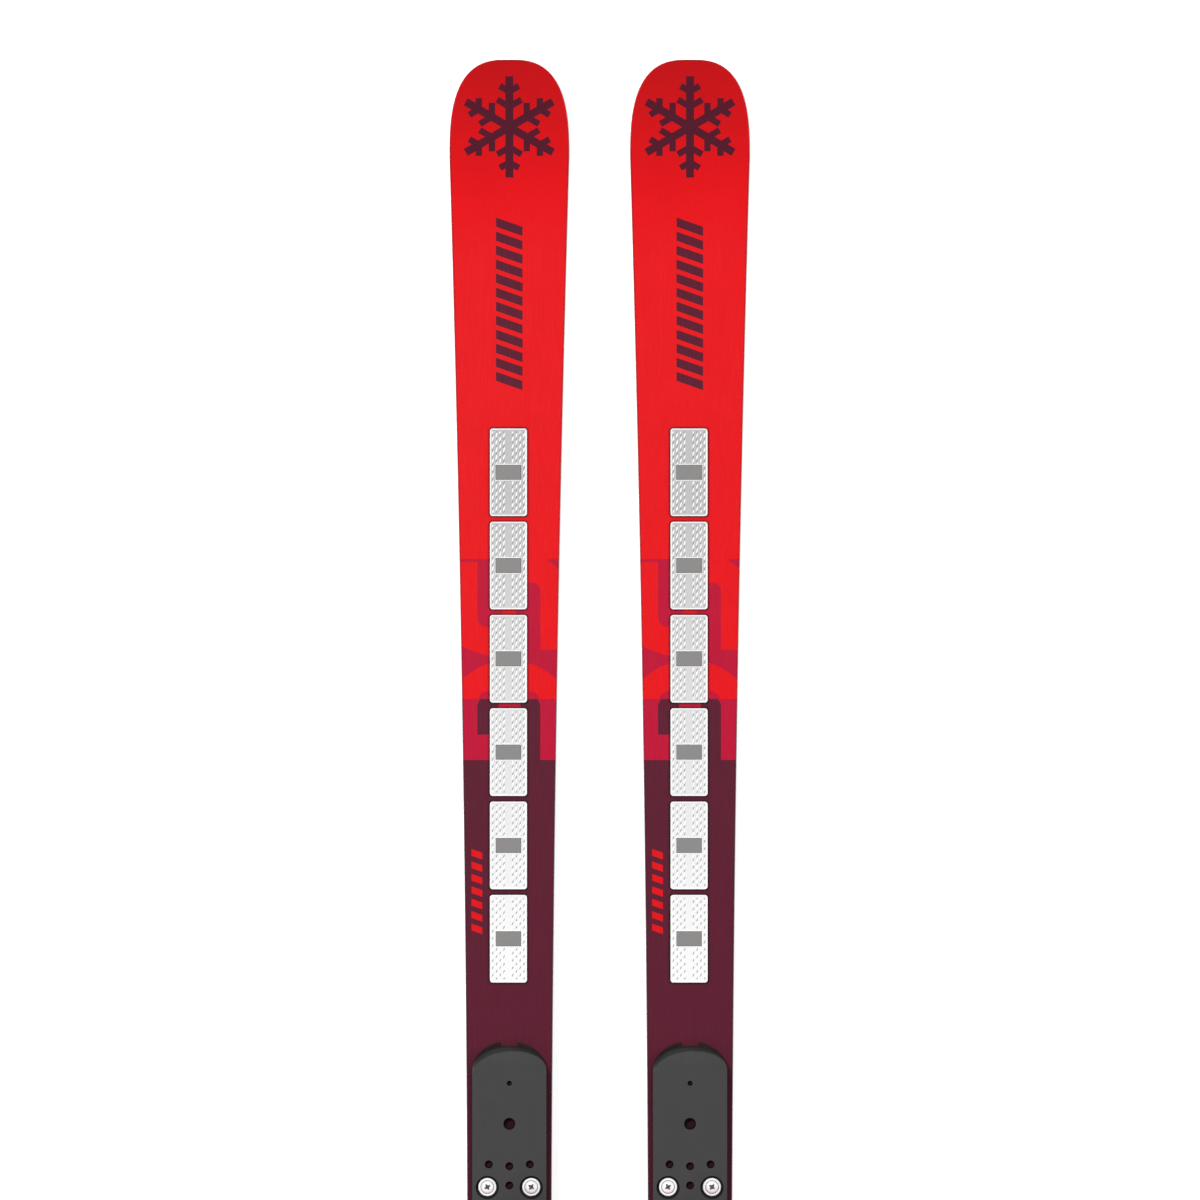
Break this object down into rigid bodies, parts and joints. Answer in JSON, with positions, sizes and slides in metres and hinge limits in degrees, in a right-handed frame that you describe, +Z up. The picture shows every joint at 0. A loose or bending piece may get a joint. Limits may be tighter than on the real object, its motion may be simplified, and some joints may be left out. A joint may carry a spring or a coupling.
{
  "type": "alpine skis with bindings",
  "caption": "Pair of race skis in red and maroon with damper modules, binding plates and step-in bindings with working toe wings, heel lever and brake.",
  "frame": {"origin": "on the floor, midway between the skis and midway along their length", "axes": "+Y points to the tips, +X to the right ski, +Z up from the bases"},
  "size_m": [0.233, 1.9297, 0.1247],
  "materials": {
    "topsheet": "gloss lacquer over a printed red and maroon topsheet",
    "base": "black sintered base, structured and waxed",
    "edge_steel": "ground steel",
    "laminate": "bonded sheet",
    "wood": "glued strips of ash and poplar",
    "sidewall": "milled black phenolic",
    "damper": "embossed light steel plate with a satin lacquer",
    "rubber": "matte elastomer",
    "plate": "fine-textured dark grey plastic",
    "binding_black": "fine-textured black plastic",
    "binding_red": "lacquered red plastic",
    "binding_grey": "grey glass-filled plastic",
    "slider": "smooth low-friction plastic",
    "zinc": "zinc-plated steel"
  },
  "bodies": {
    "left_ski": {"left_running_base": "base", "left_steel_edge": "edge_steel", "left_lower_laminate": "laminate", "left_wood_core": "wood", "left_sidewall": "sidewall", "left_upper_laminate": "laminate", "left_topsheet": "topsheet", "left_damper_1": "damper", "left_damper_2": "damper", "left_damper_3": "damper", "left_damper_4": "damper", "left_damper_5": "damper", "left_damper_6": "damper", "left_plate_pad": "rubber", "left_front_plate": "plate", "left_rear_plate": "plate", "left_toe_base": "binding_black", "left_toe_housing": "binding_red", "left_heel_track": "binding_grey", "left_brake_block": "binding_grey"},
    "left_toe_wing_left": {"left_toe_wing_left": "binding_black"},
    "left_toe_wing_right": {"left_toe_wing_right": "binding_black"},
    "left_toe_sole_slider": {"left_toe_sole_slider": "slider"},
    "left_toe_setting_screw": {"left_toe_setting_screw": "zinc"},
    "left_heel_carriage": {"left_heel_carriage": "binding_black"},
    "left_heel_housing": {"left_heel_housing": "binding_red"},
    "left_heel_lever": {"left_heel_lever": "binding_black"},
    "left_heel_setting_screw": {"left_heel_setting_screw": "zinc"},
    "left_brake_pedal": {"left_brake_pedal": "binding_black"},
    "left_brake_arms": {"left_brake_arms": "zinc"},
    "right_ski": {"right_running_base": "base", "right_steel_edge": "edge_steel", "right_lower_laminate": "laminate", "right_wood_core": "wood", "right_sidewall": "sidewall", "right_upper_laminate": "laminate", "right_topsheet": "topsheet", "right_damper_1": "damper", "right_damper_2": "damper", "right_damper_3": "damper", "right_damper_4": "damper", "right_damper_5": "damper", "right_damper_6": "damper", "right_plate_pad": "rubber", "right_front_plate": "plate", "right_rear_plate": "plate", "right_toe_base": "binding_black", "right_toe_housing": "binding_red", "right_heel_track": "binding_grey", "right_brake_block": "binding_grey"},
    "right_toe_wing_left": {"right_toe_wing_left": "binding_black"},
    "right_toe_wing_right": {"right_toe_wing_right": "binding_black"},
    "right_toe_sole_slider": {"right_toe_sole_slider": "slider"},
    "right_toe_setting_screw": {"right_toe_setting_screw": "zinc"},
    "right_heel_carriage": {"right_heel_carriage": "binding_black"},
    "right_heel_housing": {"right_heel_housing": "binding_red"},
    "right_heel_lever": {"right_heel_lever": "binding_black"},
    "right_heel_setting_screw": {"right_heel_setting_screw": "zinc"},
    "right_brake_pedal": {"right_brake_pedal": "binding_black"},
    "right_brake_arms": {"right_brake_arms": "zinc"}
  },
  "joints": [
    {"name": "right_ski_lift", "type": "slide", "parent": "left_ski", "child": "right_ski", "axis": [0, 0, 1], "range_m": [0, 0.3]},
    {"name": "left_toe_wing_left_swing", "type": "hinge", "parent": "left_ski", "child": "left_toe_wing_left", "pos_m": [-0.0895, 0.03, 0.065], "axis": [0, 0, -1], "range_deg": [0, 35]},
    {"name": "left_toe_wing_right_swing", "type": "hinge", "parent": "left_ski", "child": "left_toe_wing_right", "pos_m": [-0.0505, 0.03, 0.065], "axis": [0, 0, 1], "range_deg": [0, 35]},
    {"name": "left_toe_sole_slide", "type": "slide", "parent": "left_ski", "child": "left_toe_sole_slider", "axis": [1, 0, 0], "range_m": [-0.008, 0.008]},
    {"name": "left_toe_setting_screw_turn", "type": "hinge", "parent": "left_ski", "child": "left_toe_setting_screw", "pos_m": [-0.07, 0.066, 0.06], "axis": [0, 1, 0], "continuous": true},
    {"name": "left_heel_track_slide", "type": "slide", "parent": "left_ski", "child": "left_heel_carriage", "axis": [0, 1, 0], "range_m": [-0.01, 0.01]},
    {"name": "left_heel_release", "type": "hinge", "parent": "left_heel_carriage", "child": "left_heel_housing", "pos_m": [-0.07, -0.325, 0.058], "axis": [1, 0, 0], "range_deg": [0, 32]},
    {"name": "left_heel_lever_press", "type": "hinge", "parent": "left_heel_housing", "child": "left_heel_lever", "pos_m": [-0.07, -0.307, 0.09], "axis": [1, 0, 0], "range_deg": [0, 24]},
    {"name": "left_heel_setting_screw_turn", "type": "hinge", "parent": "left_heel_housing", "child": "left_heel_setting_screw", "pos_m": [-0.07, -0.342, 0.075], "axis": [0, 1, 0], "continuous": true},
    {"name": "left_brake_deploy", "type": "hinge", "parent": "left_ski", "child": "left_brake_arms", "pos_m": [-0.07, -0.23, 0.041], "axis": [1, 0, 0], "range_deg": [0, 62]},
    {"name": "left_brake_pedal_rise", "type": "hinge", "parent": "left_ski", "child": "left_brake_pedal", "pos_m": [-0.07, -0.193, 0.0495], "axis": [1, 0, 0], "range_deg": [-31, 0]},
    {"name": "right_toe_wing_left_swing", "type": "hinge", "parent": "right_ski", "child": "right_toe_wing_left", "pos_m": [0.0505, 0.03, 0.065], "axis": [0, 0, -1], "range_deg": [0, 35]},
    {"name": "right_toe_wing_right_swing", "type": "hinge", "parent": "right_ski", "child": "right_toe_wing_right", "pos_m": [0.0895, 0.03, 0.065], "axis": [0, 0, 1], "range_deg": [0, 35]},
    {"name": "right_toe_sole_slide", "type": "slide", "parent": "right_ski", "child": "right_toe_sole_slider", "axis": [1, 0, 0], "range_m": [-0.008, 0.008]},
    {"name": "right_toe_setting_screw_turn", "type": "hinge", "parent": "right_ski", "child": "right_toe_setting_screw", "pos_m": [0.07, 0.066, 0.06], "axis": [0, 1, 0], "continuous": true},
    {"name": "right_heel_track_slide", "type": "slide", "parent": "right_ski", "child": "right_heel_carriage", "axis": [0, 1, 0], "range_m": [-0.01, 0.01]},
    {"name": "right_heel_release", "type": "hinge", "parent": "right_heel_carriage", "child": "right_heel_housing", "pos_m": [0.07, -0.325, 0.058], "axis": [1, 0, 0], "range_deg": [0, 32]},
    {"name": "right_heel_lever_press", "type": "hinge", "parent": "right_heel_housing", "child": "right_heel_lever", "pos_m": [0.07, -0.307, 0.09], "axis": [1, 0, 0], "range_deg": [0, 24]},
    {"name": "right_heel_setting_screw_turn", "type": "hinge", "parent": "right_heel_housing", "child": "right_heel_setting_screw", "pos_m": [0.07, -0.342, 0.075], "axis": [0, 1, 0], "continuous": true},
    {"name": "right_brake_deploy", "type": "hinge", "parent": "right_ski", "child": "right_brake_arms", "pos_m": [0.07, -0.23, 0.041], "axis": [1, 0, 0], "range_deg": [0, 62]},
    {"name": "right_brake_pedal_rise", "type": "hinge", "parent": "right_ski", "child": "right_brake_pedal", "pos_m": [0.07, -0.193, 0.0495], "axis": [1, 0, 0], "range_deg": [-31, 0]}
  ],
  "couplings": [
    {"joint": "left_brake_pedal_rise", "follows": "left_brake_deploy", "ratio": -0.5},
    {"joint": "right_brake_pedal_rise", "follows": "right_brake_deploy", "ratio": -0.5}
  ]
}
